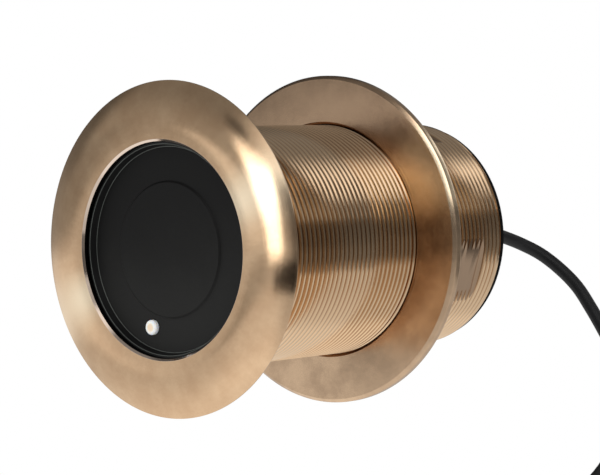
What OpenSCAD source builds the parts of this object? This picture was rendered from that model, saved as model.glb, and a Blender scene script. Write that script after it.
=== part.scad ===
// Thru-hull sonar transducer: a bronze body with a low domed flange and a long threaded stem,
// a flanged hull nut, a tilted ceramic element behind a recessed window, and its cable.
// The part stands on its face: +Z runs along the stem from the face to the cable's exit.

/* [Body] */
// Diameter of the stem over its thread
stem_d = 88.9; // [86:0.1:92]
// Height of the bronze body from the face ring to its rear end
body_h = 149.1; // [145:0.1:160]
// Thickness of the stem's wall round the bore, which opens as the mouth in the face
wall_t = 5.25; // [4.8:0.05:6]
// Width of the domed flange round the stem
flange_w = 16.7; // [14:0.1:20]
// Height of the flange from the face ring to the seat against the hull
flange_h = 5.3; // [4.5:0.1:8]
// Thickness of the flange at its edge
flange_edge = 0.7; // [0.5:0.1:2]
// Bevel of the mouth's edge
mouth_bevel = 0.6; // [0.3:0.1:1]
// Width of the flat ring round the mouth, on which the part stands
face_land = 1.7; // [0.5:0.1:3]
// Bevel at the rear end of the stem
end_bevel = 0.8; // [0.4:0.1:1.2]

/* [Wrench flats] */
// Direction of the first flat, counted from +X
flat_angle = 21; // [0:0.5:90]
// Number of flats milled round the rear of the stem
flat_count = 4; // [2:1:6]
// Depth of each flat below the thread crests
flat_depth = 1.8; // [1.4:0.1:2.2]
// Length of each flat along the stem
flat_len = 32.5; // [25:0.1:34]
// Distance from the rear end of the body to the shoulder of the flats
flat_back = 11.6; // [8:0.1:14]

/* [Hull nut] */
// Width of the nut's flange round the stem
nut_w = 19.05; // [16:0.05:21]
// Height of the nut's clamping face above the face ring, as stored
nut_z = 92; // [70:0.1:95]
// Thickness of the nut's flange
nut_rim_t = 4.4; // [3.5:0.1:6]
// Bevel of the nut's front edge
nut_bevel = 0.8; // [0.6:0.05:1.6]
// Bevel of the nut's rear edge
nut_back_bevel = 0.5; // [0.2:0.1:1]
// Height of the wrench ring behind the nut's flange
nut_hub_h = 7; // [5:0.1:9]
// Width of the wrench ring round the stem, at its corners
hub_w = 9.55; // [8:0.05:10]
// Width of the wrench ring round the stem, at its flats
hub_flat_w = 6.05; // [5:0.05:7]
// Bevel at each end of the nut's bore
nut_mouth_bevel = 1; // [0.5:0.1:1.5]
// Clearance between the nut's bore and the thread crests
nut_gap = 0.6; // [0.4:0.05:0.8]

/* [Window and probe] */
// Depth of the moulded cup's front lip behind the face ring
lip_depth = 2.6; // [2:0.1:3.2]
// Depth of the window's face behind the face ring
window_depth = 5.3; // [4.6:0.1:6]
// Thickness of the moulded cup's wall
cup_wall = 1.65; // [1.4:0.05:2.5]
// Thickness of the cup's lip at its front edge
lip_t = 0.8; // [0.5:0.05:1.2]
// Thickness of the window
window_t = 4; // [3:0.1:5]
// Distance of the raised disc's edge inside the element's edge
disc_inset = 0.4; // [0.2:0.1:3]
// Height of that raised disc
disc_h = 0.7; // [0.3:0.1:1]
// Diameter of the temperature probe's dome
probe_d = 5.9; // [5.6:0.1:7]
// Height of the probe's dome above the window
probe_h = 2.6; // [1:0.1:2.7]
// Distance of the probe's middle from the cup's wall
probe_inset = 7.6; // [6:0.1:8]
// Direction of the probe, counted from +X
probe_angle = 111; // [100:0.5:120]
// Diameter of the probe's shank
shank_d = 3.6; // [3:0.1:4]
// Length of the probe's shank behind the window's face
shank_len = 8; // [6:0.1:10]

/* [Element] */
// Width of the room between the ceramic element and the cup's wall
element_room = 12; // [11.8:0.1:14]
// Thickness of the ceramic element
element_t = 10; // [6:0.1:11]
// Tilt of the element in the body
tilt = 12; // [0:0.5:13]
// Least thickness of the wedge between window and element
wedge_t = 1.5; // [1:0.1:2.5]
// Wall of the ring round the element
ring_wall = 1.6; // [1:0.1:1.8]
// Thickness of the backing disc
backing_t = 5; // [3:0.1:6]
// Depth of the cup behind the window
cup_depth = 38; // [36:0.1:42]
// Thickness of the cup's floor
cup_floor = 3; // [2:0.1:4]

/* [Electronics] */
// Width of the gap between the circuit board and the body's bore
board_room = 4.2; // [3:0.1:5]
// Thickness of the circuit board
board_t = 1.6; // [1:0.1:2.4]
// Height of the posts that carry the board
post_h = 6; // [4:0.1:8]
// Diameter of each post
post_d = 5; // [4:0.1:6]
// Diameter of the screws that hold the board
screw_d = 2.5; // [2:0.1:3]
// Height of the transformer's winding
toroid_h = 10; // [8:0.1:11]
// Width of the room between the transformer and the shield can
side_room = 9.5; // [9:0.1:11]
// Diameter of the tuning capacitor
cap_d = 8; // [6:0.1:9]
// Height of the tuning capacitor
cap_h = 11; // [8:0.1:14]
// Length of the identity chip
chip_len = 7; // [5:0.1:8]
// Width of the identity chip
chip_w = 5; // [4:0.1:6]
// Thickness of the identity chip
chip_h = 1.6; // [1:0.1:2.4]
// Length of the terminal block
block_len = 14; // [12:0.1:15]
// Width of the terminal block
block_w = 6; // [5:0.1:7]
// Height of the terminal block
block_h = 8; // [6:0.1:9]
// Height of the shield can over the board
can_h = 28; // [26:0.1:32]
// Thickness of the shield can's sheet
can_t = 0.8; // [0.5:0.1:1.2]
// Thickness of the insulated leads
lead_d = 1.8; // [1.2:0.1:2]

/* [Rear end] */
// Thickness of the rear cap's rim behind the body
cap_rim_t = 1.8; // [1:0.1:3]
// Height of the rear cap's plug inside the bore
plug_h = 8; // [5:0.1:10]
// Width of the gland's hexagon across its corners
gland_d = 22; // [19:0.1:24]
// Height of the gland's hexagon
gland_hex_h = 6; // [4:0.1:8]
// Diameter of the gland's threaded shank
gland_shank_d = 12; // [10:0.1:13]
// Height of the gland's nut
gland_nut_h = 12; // [10:0.1:13]
// Length of the strain relief
relief_len = 20.1; // [20:0.1:24]

/* [Cable] */
// Diameter of the cable
cable_d = 5.6; // [5:0.1:6]
// Radius of the coil at the middle of its turns
coil_r = 46.6; // [44:0.1:50]
// Width of the coil's bundle
coil_w = 34.4; // [30:0.1:36]
// Height of the coil's bundle
coil_h = 30.6; // [29:0.1:33]
// Thickness of the strap that ties the coil
tie_t = 1.2; // [0.8:0.1:1.4]
// Width of that strap
tie_w = 6; // [4:0.1:8]
// Diameter of the plug's coupling ring
ring_d = 19.5; // [17:0.1:21]
// Length of the plug's coupling ring
ring_len = 18; // [15:0.1:20]
// Length of the plug's body behind the ring
plug_len = 16; // [12:0.1:18]
// Length of the plug's boot
boot_len = 20; // [16:0.1:22]
// Number of pins in the plug
pin_count = 5; // [3:1:7]

/* [Hidden] */
$fn = 96;
// Overrun of every cut past the face that it opens
over = 1;
// Clearance between pieces that are assembled and don't move
fit_gap = 0.15;
// Number of short facets that make the dome's arc
dome_steps = 12;

stem_r = stem_d / 2;
bore_r = stem_r - wall_t;
flange_r = stem_r + flange_w;
dome_start = bore_r + mouth_bevel + face_land;
dome_w = flange_r - dome_start;
dome_rise = flange_h - flange_edge;
dome_r = (dome_w * dome_w + dome_rise * dome_rise) / (2 * dome_rise);
dome_angle = asin(dome_w / dome_r);
flat_top = body_h - flat_back;

cup_r = bore_r - fit_gap;
cup_in = cup_r - cup_wall;
window_back = window_depth + window_t;
cup_back = window_back + cup_depth;
cup_top = cup_back + cup_floor;
probe_r = cup_in - probe_inset;
probe_x = probe_r * cos(probe_angle);
probe_y = probe_r * sin(probe_angle);

element_r = cup_in - element_room;
wedge_r = element_r + ring_wall + fit_gap;
wedge_mid = window_back + wedge_t + wedge_r * tan(tilt);
stack_top = element_t + backing_t + 2 * fit_gap;
lead_share = 0.45;
lead_x = element_r * lead_share;

board_z = cup_top + post_h;
board_top = board_z + board_t;
post_share = 0.8;
board_r = bore_r - board_room;
post_r = board_r * post_share;
head_d = 2 * screw_d;
head_h = screw_d / 2;
can_r = post_r - head_d / 2 - fit_gap;
can_top = board_top + can_h;
toroid_r = can_r - can_t - side_room;
hole_share = 0.35;
inner_end = board_top + toroid_h + cable_d;
// The small pieces on the board stand in the ring between the transformer and the can
side_r = toroid_r + side_room / 2;

cap_top = body_h + cap_rim_t;
cap_r = stem_r - end_bevel;
cap_bottom = body_h - plug_h;
hole_r = cable_d / 2 + fit_gap;
gland_top = cap_top + gland_hex_h;
neck_r = gland_shank_d / 2 + gland_shank_d / 8;
neck_h = gland_nut_h / 2;
seal_h = gland_nut_h / 4;
nut_end = gland_top + gland_nut_h;
exit_z = nut_end + relief_len;

coil_lift = tie_t + 2 * fit_gap;
coil_top = coil_lift + coil_h;
coil_x = 12;
coil_y = 158;
plug_z = coil_top + ring_d / 2 + fit_gap;
// The plug lies across the top of the coil, along +Y from its boot to its ring
plug_x = coil_x + coil_r;
plug_y = coil_y - (boot_len + plug_len + ring_len) / 2;
boot_share = 0.7;
boot_r = ring_d / 2 * boot_share;
insert_share = 0.66;
insert_r = ring_d / 2 * insert_share;
pin_r = ring_d / 28;
grip_count = 12;
grip_share = 0.7;
// Radius of a sleeve's thin end where it closes on the cable
sleeve_share = 0.68;
sleeve_r = cable_d * sleeve_share;

// Route of the cable from the strain relief, over and down to the floor, and into the coil
cable_route = [[0, 0, 189], [0, 0.6, 198.3], [0.9, 3.5, 208.3], [4.5, 7.3, 217],
               [10.4, 12.4, 223.2], [17.6, 19.4, 226.6], [25.5, 27, 226.5], [33, 36, 224.5],
               [40, 45.5, 222.5], [47, 55, 219.5], [55, 68, 210.5], [62, 81, 197.5], [68, 93, 180],
               [72, 102, 158], [74.5, 108, 132], [76, 110.5, 103], [76, 111, 73], [76, 112, 47],
               [76, 117, 26], [76, 127.5, 11.5], [75.5, 142.5, 5], [73, 158, 4.3]];
// Route of the cable's end, from the coil's top turn up into the plug's boot
tail_route = [[22, 101, 29.5], [31, 103, 31.5], [41, 107, 35], [50, 113, 38.5], [56, 120, 41],
              [58.6, 126, 42], [58.6, 131, 42]];
cable_sides = 8;

// One piece of a smooth curve through four points of a route
function curve_point(a, b, c, d, t) =
    (2 * b + (c - a) * t + (2 * a - 5 * b + 4 * c - d) * t * t
     + (3 * b - a - 3 * c + d) * t * t * t) / 2;

function route_line(pts, steps) = let (n = len(pts)) concat(
    [for (i = [0 : n - 2]) for (k = [0 : steps - 1])
        curve_point(pts[max(i - 1, 0)], pts[i], pts[i + 1], pts[min(i + 2, n - 1)], k / steps)],
    [pts[n - 1]]);

function unit(v) = v / norm(v);

// Side direction of a ring, turned as little as possible from the ring before it
function side_dirs(line, i, last) = let (
        n = len(line),
        dir = unit(line[min(i + 1, n - 1)] - line[max(i - 1, 0)]),
        side = unit(last - (last * dir) * dir))
    i == n - 1 ? [[dir, side]] : concat([[dir, side]], side_dirs(line, i + 1, side));

// A round tube of radius r along a line of points
module tube(line, r, sides) {
    dirs = side_dirs(line, 0, [0, 1, 0]);
    n = len(line);
    rings = [for (i = [0 : n - 1]) for (k = [0 : sides - 1]) let (
        a = 360 * k / sides, u = dirs[i][1], w = cross(dirs[i][0], dirs[i][1]))
        line[i] + r * (cos(a) * u + sin(a) * w)];
    walls = [for (i = [0 : n - 2]) for (k = [0 : sides - 1]) let (j = (k + 1) % sides)
        [i * sides + k, (i + 1) * sides + k, (i + 1) * sides + j, i * sides + j]];
    polyhedron(rings, concat(walls, [[for (k = [0 : sides - 1]) k]],
        [[for (k = [sides - 1 : -1 : 0]) (n - 1) * sides + k]]));
}

// A straight round rod from one point to another
module rod(a, b, d) {
    v = b - a;
    translate(a) rotate([0, acos(v.z / norm(v)), atan2(v.y, v.x)]) cylinder(d = d, h = norm(v));
}

// A ring of rectangular section with a bevel at both ends of its outside
module band(r_in, r_out, h, bevel) {
    rotate_extrude() polygon([[r_in, 0], [r_out - bevel, 0], [r_out, bevel], [r_out, h - bevel],
        [r_out - bevel, h], [r_in, h]]);
}

// Places its children in the tilted frame of the element, at a height along the tilted axis
module tilted(h) {
    translate([0, 0, wedge_mid]) rotate([tilt, 0, 0]) translate([0, 0, h]) children();
}

module lead_holes() {
    for (s = [-1, 1]) translate([s * lead_x, 0, window_back])
        cylinder(r = lead_d / 2 + fit_gap, h = board_z);
}

module housing() {
    dome = [for (i = [1 : dome_steps]) let (a = dome_angle * i / dome_steps)
        [dome_start + dome_r * sin(a), dome_r * (1 - cos(a))]];
    outline = concat([[bore_r, mouth_bevel], [bore_r + mouth_bevel, 0], [dome_start, 0]], dome,
        [[flange_r, flange_h], [stem_r, flange_h], [stem_r, body_h - end_bevel],
         [stem_r - end_bevel, body_h], [bore_r, body_h]]);
    color([0.70, 0.56, 0.40]) difference() {
        rotate_extrude() polygon(outline);
        for (i = [0 : flat_count - 1]) rotate([0, 0, flat_angle + i * 360 / flat_count])
            translate([0, stem_r, 0]) rotate([90, 0, 0]) linear_extrude(stem_d) polygon([
                [stem_r - flat_depth, flat_top - flat_len], [stem_r - flat_depth, flat_top - flat_depth],
                [stem_r, flat_top], [stem_r + over, flat_top], [stem_r + over, flat_top - flat_len]]);
    }
}

module hull_nut() {
    hole = stem_r + nut_gap;
    mouth = hole + nut_mouth_bevel;
    nut_r = stem_r + nut_w;
    hub_r = stem_r + hub_w;
    across_r = (stem_r + hub_flat_w) / cos(30);
    color([0.66, 0.52, 0.37]) translate([0, 0, nut_z]) union() {
        rotate_extrude() polygon([[hole, nut_mouth_bevel], [mouth, 0], [nut_r - nut_bevel, 0],
            [nut_r, nut_bevel], [nut_r, nut_rim_t - nut_back_bevel],
            [nut_r - nut_back_bevel, nut_rim_t], [hole, nut_rim_t]]);
        translate([0, 0, nut_rim_t]) intersection() {
            rotate_extrude() polygon([[hole, 0], [hub_r, 0], [hub_r, nut_hub_h],
                [mouth, nut_hub_h], [hole, nut_hub_h - nut_mouth_bevel]]);
            cylinder(r = across_r, h = nut_hub_h + over, $fn = 6);
        }
    }
}

module window_cup() {
    color([0.09, 0.09, 0.09]) difference() {
        union() {
            rotate_extrude() polygon([[0, cup_back], [cup_in, cup_back], [cup_in, window_depth],
                [cup_r - lip_t, lip_depth], [cup_r, lip_depth], [cup_r, cup_top], [0, cup_top]]);
            for (i = [0 : 3]) rotate([0, 0, 45 + 90 * i]) translate([post_r, 0, cup_back])
                cylinder(d = post_d, h = cup_floor + post_h);
        }
        for (i = [0 : 3]) rotate([0, 0, 45 + 90 * i]) translate([post_r, 0, cup_top])
            cylinder(d = screw_d, h = post_h + over);
        translate([probe_x, probe_y, cup_back - over])
            cylinder(r = lead_d / 2 + fit_gap, h = cup_floor + 2 * over);
        lead_holes();
    }
}

module acoustic_window() {
    disc_r = element_r - disc_inset;
    color([0.11, 0.11, 0.11]) difference() {
        rotate_extrude() polygon([[0, window_depth - disc_h],
            [disc_r - disc_h, window_depth - disc_h],
            [disc_r, window_depth], [cup_in - fit_gap, window_depth],
            [cup_in - fit_gap, window_back], [0, window_back]]);
        translate([probe_x, probe_y, window_depth - over])
            cylinder(d = shank_d + 2 * fit_gap, h = window_t + 2 * over);
    }
}

module temperature_probe() {
    dome_top = window_depth - probe_h;
    cap_rad = (probe_d * probe_d / 4 + probe_h * probe_h) / (2 * probe_h);
    half = asin(probe_d / 2 / cap_rad);
    dome = [for (i = [0 : dome_steps]) let (a = half * i / dome_steps)
        [cap_rad * sin(a), dome_top + cap_rad * (1 - cos(a))]];
    hole = shank_d / 2 - shank_d / 8;
    color([0.83, 0.77, 0.62]) translate([probe_x, probe_y, 0]) rotate_extrude()
        polygon(concat(dome, [[shank_d / 2, window_depth], [shank_d / 2, window_depth + shank_len],
            [hole, window_depth + shank_len], [hole, window_depth + shank_d / 2],
            [0, window_depth + shank_d / 2]]));
}

module thermistor() {
    color([0.20, 0.22, 0.18]) translate([probe_x, probe_y, window_depth + shank_d / 2 + fit_gap])
        cylinder(d = shank_d / 2, h = shank_len / 2);
}

module probe_lead() {
    z0 = window_depth + shank_d / 2 + shank_len / 2 + 2 * fit_gap;
    color([0.75, 0.70, 0.60]) translate([probe_x, probe_y, z0])
        cylinder(d = lead_d, h = board_z - z0);
}

module tilt_wedge() {
    color([0.14, 0.13, 0.12]) difference() {
        translate([0, 0, window_back]) cylinder(r = wedge_r, h = wedge_mid);
        tilted(0) translate([-stem_d, -stem_d, 0]) cube([2 * stem_d, 2 * stem_d, body_h]);
    }
}

module ceramic_element() {
    color([0.88, 0.86, 0.80]) tilted(fit_gap) cylinder(r = element_r, h = element_t);
}

module isolation_ring() {
    color([0.45, 0.32, 0.20]) tilted(fit_gap) difference() {
        cylinder(r = element_r + ring_wall, h = element_t);
        translate([0, 0, -over]) cylinder(r = element_r + fit_gap, h = element_t + 2 * over);
    }
}

module backing_disc() {
    color([0.52, 0.38, 0.24]) difference() {
        tilted(element_t + 2 * fit_gap) cylinder(r = element_r, h = backing_t);
        lead_holes();
    }
}

module foam_pad() {
    pad_share = 0.8;
    color([0.30, 0.30, 0.32]) difference() {
        translate([0, 0, window_back])
            cylinder(r = element_r * pad_share, h = cup_depth - fit_gap);
        tilted(stack_top + fit_gap) translate([-stem_d, -stem_d, -body_h])
            cube([2 * stem_d, 2 * stem_d, body_h]);
        lead_holes();
    }
}

module element_leads() {
    color([0.62, 0.15, 0.12]) difference() {
        for (s = [-1, 1]) translate([s * lead_x, 0, window_back])
            cylinder(d = lead_d, h = board_z - window_back);
        tilted(element_t + 2 * fit_gap) translate([-stem_d, -stem_d, -body_h])
            cube([2 * stem_d, 2 * stem_d, body_h]);
    }
}

module circuit_board() {
    color([0.10, 0.32, 0.18]) difference() {
        translate([0, 0, board_z]) cylinder(r = board_r, h = board_t);
        for (i = [0 : 3]) rotate([0, 0, 45 + 90 * i]) translate([post_r, 0, board_z - over])
            cylinder(r = screw_d / 2 + fit_gap, h = board_t + 2 * over);
    }
}

module board_screws() {
    color([0.75, 0.75, 0.72]) for (i = [0 : 3]) rotate([0, 0, 45 + 90 * i])
        translate([post_r, 0, 0]) {
            translate([0, 0, cup_top + fit_gap])
                cylinder(d = screw_d - fit_gap, h = board_top - cup_top - fit_gap);
            translate([0, 0, board_top]) cylinder(d = head_d, h = head_h);
        }
}

module transformer() {
    soft = toroid_h / 5;
    hole = toroid_r * hole_share;
    color([0.60, 0.34, 0.18]) translate([0, 0, board_top]) rotate_extrude() polygon([
        [hole + soft, 0], [toroid_r - soft, 0], [toroid_r, soft], [toroid_r, toroid_h - soft],
        [toroid_r - soft, toroid_h], [hole + soft, toroid_h], [hole, toroid_h - soft], [hole, soft]]);
}

module tuning_capacitor() {
    color([0.16, 0.22, 0.42]) translate([side_r, 0, board_top])
        band(0, cap_d / 2, cap_h, cap_d / 12);
}

module identity_chip() {
    color([0.08, 0.08, 0.09]) translate([-side_r - chip_w / 2, -chip_len / 2, board_top])
        cube([chip_w, chip_len, chip_h]);
}

module terminal_block() {
    color([0.12, 0.36, 0.22]) translate([-block_len / 2, -side_r - block_w / 2, board_top])
        cube([block_len, block_w, block_h]);
}

module conductors() {
    // The wires leave the cable's inner end side by side and fan out to the terminals
    wire_lift = lead_d / 2 + fit_gap;
    color([0.80, 0.80, 0.78]) for (s = [-1, 0, 1])
        rod([s * cable_d / 4, 0, inner_end - wire_lift],
            [s * block_len / 4, -side_r, board_top + block_h + wire_lift], lead_d);
}

module shield_can() {
    color([0.72, 0.73, 0.74]) translate([0, 0, board_top]) difference() {
        cylinder(r = can_r, h = can_h);
        translate([0, 0, -over]) cylinder(r = can_r - can_t, h = can_h - can_t + over);
        cylinder(r = hole_r, h = can_h + over);
    }
}

module potting() {
    pocket_d = gland_shank_d + 2 * fit_gap;
    low = can_top + fit_gap;
    color([0.13, 0.13, 0.15]) difference() {
        translate([0, 0, low]) cylinder(r = cup_r, h = cap_bottom - fit_gap - low);
        translate([0, 0, low - over]) cylinder(r = hole_r, h = body_h);
        translate([0, 0, cap_bottom - plug_h]) cylinder(d = pocket_d, h = plug_h + over);
    }
}

module rear_cap() {
    soft = cap_rim_t / 4;
    color([0.05, 0.05, 0.05]) difference() {
        rotate_extrude() polygon([[0, cap_bottom], [cup_r, cap_bottom], [cup_r, body_h],
            [cap_r, body_h], [cap_r, cap_top - soft], [cap_r - soft, cap_top], [0, cap_top]]);
        translate([0, 0, cap_bottom - over])
            cylinder(d = gland_shank_d + 2 * fit_gap, h = plug_h + cap_rim_t + 2 * over);
    }
}

module cable_inner() {
    color([0.07, 0.07, 0.08]) translate([0, 0, inner_end]) cylinder(d = cable_d, h = exit_z - inner_end);
}

module cable_gland() {
    color([0.08, 0.08, 0.08]) difference() {
        union() {
            translate([0, 0, cap_bottom - plug_h / 2])
                cylinder(d = gland_shank_d, h = cap_top - cap_bottom + plug_h / 2);
            translate([0, 0, cap_top]) cylinder(d = gland_d, h = gland_hex_h, $fn = 6);
            translate([0, 0, gland_top]) cylinder(r = neck_r, h = neck_h);
        }
        translate([0, 0, cap_bottom - plug_h]) cylinder(r = hole_r, h = nut_end);
    }
}

module gland_seal() {
    color([0.15, 0.15, 0.15]) translate([0, 0, gland_top + neck_h])
        band(hole_r, neck_r - fit_gap, seal_h, seal_h / 6);
}

module gland_nut() {
    wall = gland_nut_h / 6;
    out = neck_r + wall + fit_gap;
    color([0.07, 0.07, 0.07]) translate([0, 0, gland_top]) rotate_extrude() polygon([
        [neck_r + fit_gap, fit_gap], [out, fit_gap], [out, neck_h], [out - wall, gland_nut_h],
        [hole_r, gland_nut_h], [hole_r, neck_h + seal_h + fit_gap],
        [neck_r + fit_gap, neck_h + seal_h + fit_gap]]);
}

module strain_relief() {
    color([0.06, 0.06, 0.06]) translate([0, 0, nut_end]) rotate_extrude() polygon([
        [hole_r, 0], [neck_r - fit_gap, 0], [sleeve_r, relief_len], [hole_r, relief_len]]);
}

module cable() {
    color([0.10, 0.10, 0.11]) tube(route_line(cable_route, 2), cable_d / 2, cable_sides);
}

module cable_coil() {
    soft = cable_d / 2;
    r0 = coil_r - coil_w / 2;
    r1 = coil_r + coil_w / 2;
    color([0.10, 0.10, 0.11]) translate([coil_x, coil_y, coil_lift]) rotate_extrude() polygon([
        [r0 + soft, 0], [r1 - soft, 0], [r1, soft], [r1, coil_h - soft], [r1 - soft, coil_h],
        [r0 + soft, coil_h], [r0, coil_h - soft], [r0, soft]]);
}

module cable_tie() {
    gap = 2 * fit_gap;
    r0 = coil_r - coil_w / 2 - gap - tie_t;
    w = coil_w + 2 * gap + 2 * tie_t;
    h = coil_h + 2 * gap + 2 * tie_t;
    color([0.15, 0.15, 0.15]) translate([coil_x, coil_y, 0]) rotate([0, 0, 180]) {
        difference() {
            translate([r0, -tie_w / 2, 0]) cube([w, tie_w, h]);
            translate([r0 + tie_t, -tie_w / 2 - over, tie_t])
                cube([w - 2 * tie_t, tie_w + 2 * over, h - 2 * tie_t]);
        }
        translate([r0 + w, -tie_w / 2 - tie_t, coil_h / 2])
            cube([2 * tie_t, tie_w + 2 * tie_t, tie_w]);
    }
}

module cable_tail() {
    color([0.10, 0.10, 0.11]) tube(route_line(tail_route, 3), cable_d / 2, cable_sides);
}

// Turns its children's own Z axis along +Y, at the plug's place on the coil
module plug_place(along) {
    translate([plug_x, plug_y + along, plug_z]) rotate([-90, 0, 0]) children();
}

module plug_boot() {
    color([0.08, 0.08, 0.08]) plug_place(0) rotate_extrude() polygon([
        [0, 0], [sleeve_r, 0], [boot_r - fit_gap, boot_len - fit_gap], [0, boot_len - fit_gap]]);
}

module plug_body() {
    color([0.12, 0.12, 0.13]) plug_place(boot_len)
        band(0, boot_r + fit_gap, plug_len, boot_r / 6);
}

module coupling_ring() {
    grip = ring_d / 14;
    inner = insert_r + fit_gap;
    color([0.10, 0.10, 0.10]) plug_place(boot_len + plug_len + fit_gap) difference() {
        band(inner, ring_d / 2, ring_len - fit_gap, grip / 2);
        for (i = [0 : grip_count - 1]) rotate([0, 0, (i + 0.5) * 360 / grip_count])
            translate([ring_d / 2 + grip / 2, 0, -over])
                cylinder(r = grip, h = ring_len * grip_share + over);
    }
}

module plug_insert() {
    depth = ring_len / 2;
    color([0.20, 0.20, 0.21]) plug_place(boot_len + plug_len + fit_gap)
        cylinder(r = insert_r, h = depth);
}

module plug_pins() {
    depth = ring_len / 2;
    color([0.85, 0.70, 0.35]) for (i = [0 : pin_count - 1])
        plug_place(boot_len + plug_len + depth + 2 * fit_gap) rotate([0, 0, i * 360 / pin_count])
            translate([insert_r / 2, 0, 0]) cylinder(r = pin_r, h = ring_len / 3);
}

module plug_seal() {
    seal_r = pin_r;
    color([0.45, 0.10, 0.08]) plug_place(boot_len + plug_len + ring_len / 2 + seal_r + 2 * fit_gap)
        rotate_extrude() translate([insert_r - seal_r, 0]) circle(r = seal_r, $fn = 24);
}

housing();
hull_nut();
window_cup();
acoustic_window();
temperature_probe();
thermistor();
probe_lead();
tilt_wedge();
ceramic_element();
isolation_ring();
backing_disc();
foam_pad();
element_leads();
circuit_board();
board_screws();
transformer();
tuning_capacitor();
identity_chip();
terminal_block();
conductors();
shield_can();
potting();
rear_cap();
cable_inner();
cable_gland();
gland_seal();
gland_nut();
strain_relief();
cable();
cable_coil();
cable_tie();
cable_tail();
plug_boot();
plug_body();
coupling_ring();
plug_insert();
plug_pins();
plug_seal();
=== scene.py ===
import bpy
import bmesh
import math
from mathutils import Matrix, Vector


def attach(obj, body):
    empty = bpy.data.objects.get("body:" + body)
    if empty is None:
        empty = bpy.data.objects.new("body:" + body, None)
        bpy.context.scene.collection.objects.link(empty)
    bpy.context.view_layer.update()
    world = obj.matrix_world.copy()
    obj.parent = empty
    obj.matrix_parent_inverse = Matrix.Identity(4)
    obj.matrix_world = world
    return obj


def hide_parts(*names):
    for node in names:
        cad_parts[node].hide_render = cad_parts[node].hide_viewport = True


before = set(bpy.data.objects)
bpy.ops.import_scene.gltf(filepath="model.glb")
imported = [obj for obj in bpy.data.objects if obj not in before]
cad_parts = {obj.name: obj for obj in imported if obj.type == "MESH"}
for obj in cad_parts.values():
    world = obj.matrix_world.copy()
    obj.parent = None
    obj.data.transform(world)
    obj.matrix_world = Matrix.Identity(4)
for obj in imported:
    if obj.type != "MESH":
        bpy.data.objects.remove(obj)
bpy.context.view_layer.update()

MM = 0.001
INCH = 25.4 * MM
TAU = 2 * math.pi

# The camera's own axes, and its place in metres, fitted to the photograph's rings
CAMERA_RIGHT = Vector((0.75866, 0.06366, 0.64828))
CAMERA_DOWN = Vector((-0.04839, 0.99797, -0.04135))
CAMERA_AHEAD = Vector((-0.64960, 0.0, 0.76020))
CAMERA_PLACE = Vector((0.59816, -0.00138, -0.62222))
CAMERA_LENS = 143.95
SENSOR_WIDTH = 36.0

# The bronze body has the sizes of the part's source, apart from its two bevels
STEM_R = 44.45 * MM
BORE_R = STEM_R - 5.25 * MM
FLANGE_R = STEM_R + 16.7 * MM
BODY_H = 149.1 * MM
SEAT_Z = 5.3 * MM
RIM_T = 0.7 * MM
MOUTH_BEVEL = 0.75 * MM
DOME_START = BORE_R + 2.3 * MM
END_BEVEL = 1.7 * MM
FLAT_R = STEM_R - 1.8 * MM
FLAT_TOP = BODY_H - 11.6 * MM
FLAT_LEN = 32.5 * MM
FLAT_ANGLE = math.radians(21)
FLAT_COUNT = 4

# The thread, which the source leaves to this scene
PITCH = INCH / 10
FLANK_ANGLE = math.radians(30)
ROOT_R = STEM_R - 1.05 * MM
CREST_W = 0.8 * MM
COLLAR_W = 2.2 * MM
THREAD_END = BODY_H - 1.8 * MM
THREAD_COLUMNS = 192

# The hull nut stands where the source has it. Here its flange is a little thinner, its front
# bevel wider and its bore closer to the thread
NUT_Z = 92.0 * MM
NUT_R = STEM_R + 19.05 * MM
NUT_BORE = STEM_R + 0.15 * MM
NUT_RIM_T = 4.1 * MM
NUT_BEVEL = 1.25 * MM
NUT_HUB_H = 7.3 * MM
NUT_HUB_R = STEM_R + 9.55 * MM
NUT_ACROSS = 2 * (STEM_R + 6.05 * MM)
HUB_SIDES = 6
NUT_MOUTH = 1.1 * MM

# The moulded cup and the window in it
CUP_R = BORE_R - 0.15 * MM
CUP_IN = CUP_R - 1.65 * MM
LIP_T = 0.8 * MM
LIP_DEPTH = 2.6 * MM
WINDOW_DEPTH = 5.3 * MM
BEAD_R = 0.14 * MM

# The temperature probe's button, smaller and flatter than in the source, and its shank
PROBE_D = 5.5 * MM
PROBE_H = 1.8 * MM
PROBE_INSET = 7.6 * MM
PROBE_ANGLE = math.radians(111)
SHANK_D = 3.6 * MM
SHANK_LEN = 8.0 * MM

# The cable and its coil
CABLE_D = 5.6 * MM
COIL_CENTRE = Vector((12 * MM, 158 * MM))
COIL_LAYERS = 6
COIL_TURNS = 6
COIL_PITCH = 5.76 * MM
COIL_OUT_R = 61.0 * MM
COIL_Z = 4.3 * MM
LAYER_Z = 4.84 * MM
COIL_EXIT = math.radians(280)

# The strap round the coil
TIE_T = 1.2 * MM
TIE_W = 6.0 * MM
TIE_GAP = 0.25 * MM


def mm(points):
    """Points given in millimetres, as vectors in metres."""
    return [Vector(p) * MM for p in points]


# The same points as in the part's source
CABLE_ROUTE = mm([
    (0, 0, 189), (0, 0.6, 198.3), (0.9, 3.5, 208.3), (4.5, 7.3, 217), (10.4, 12.4, 223.2),
    (17.6, 19.4, 226.6), (25.5, 27, 226.5), (33, 36, 224.5), (40, 45.5, 222.5), (47, 55, 219.5),
    (55, 68, 210.5), (62, 81, 197.5), (68, 93, 180), (72, 102, 158), (74.5, 108, 132),
    (76, 110.5, 103), (76, 111, 73), (76, 112, 47), (76, 117, 26), (76, 127.5, 11.5),
    (75.5, 142.5, 5), (73, 158, 4.3)])
TAIL_ROUTE = mm([
    (22, 101, 29.5), (31, 103, 31.5), (41, 107, 35), (50, 113, 38.5), (56, 120, 41),
    (58.6, 126, 42), (58.6, 131, 42)])


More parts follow.
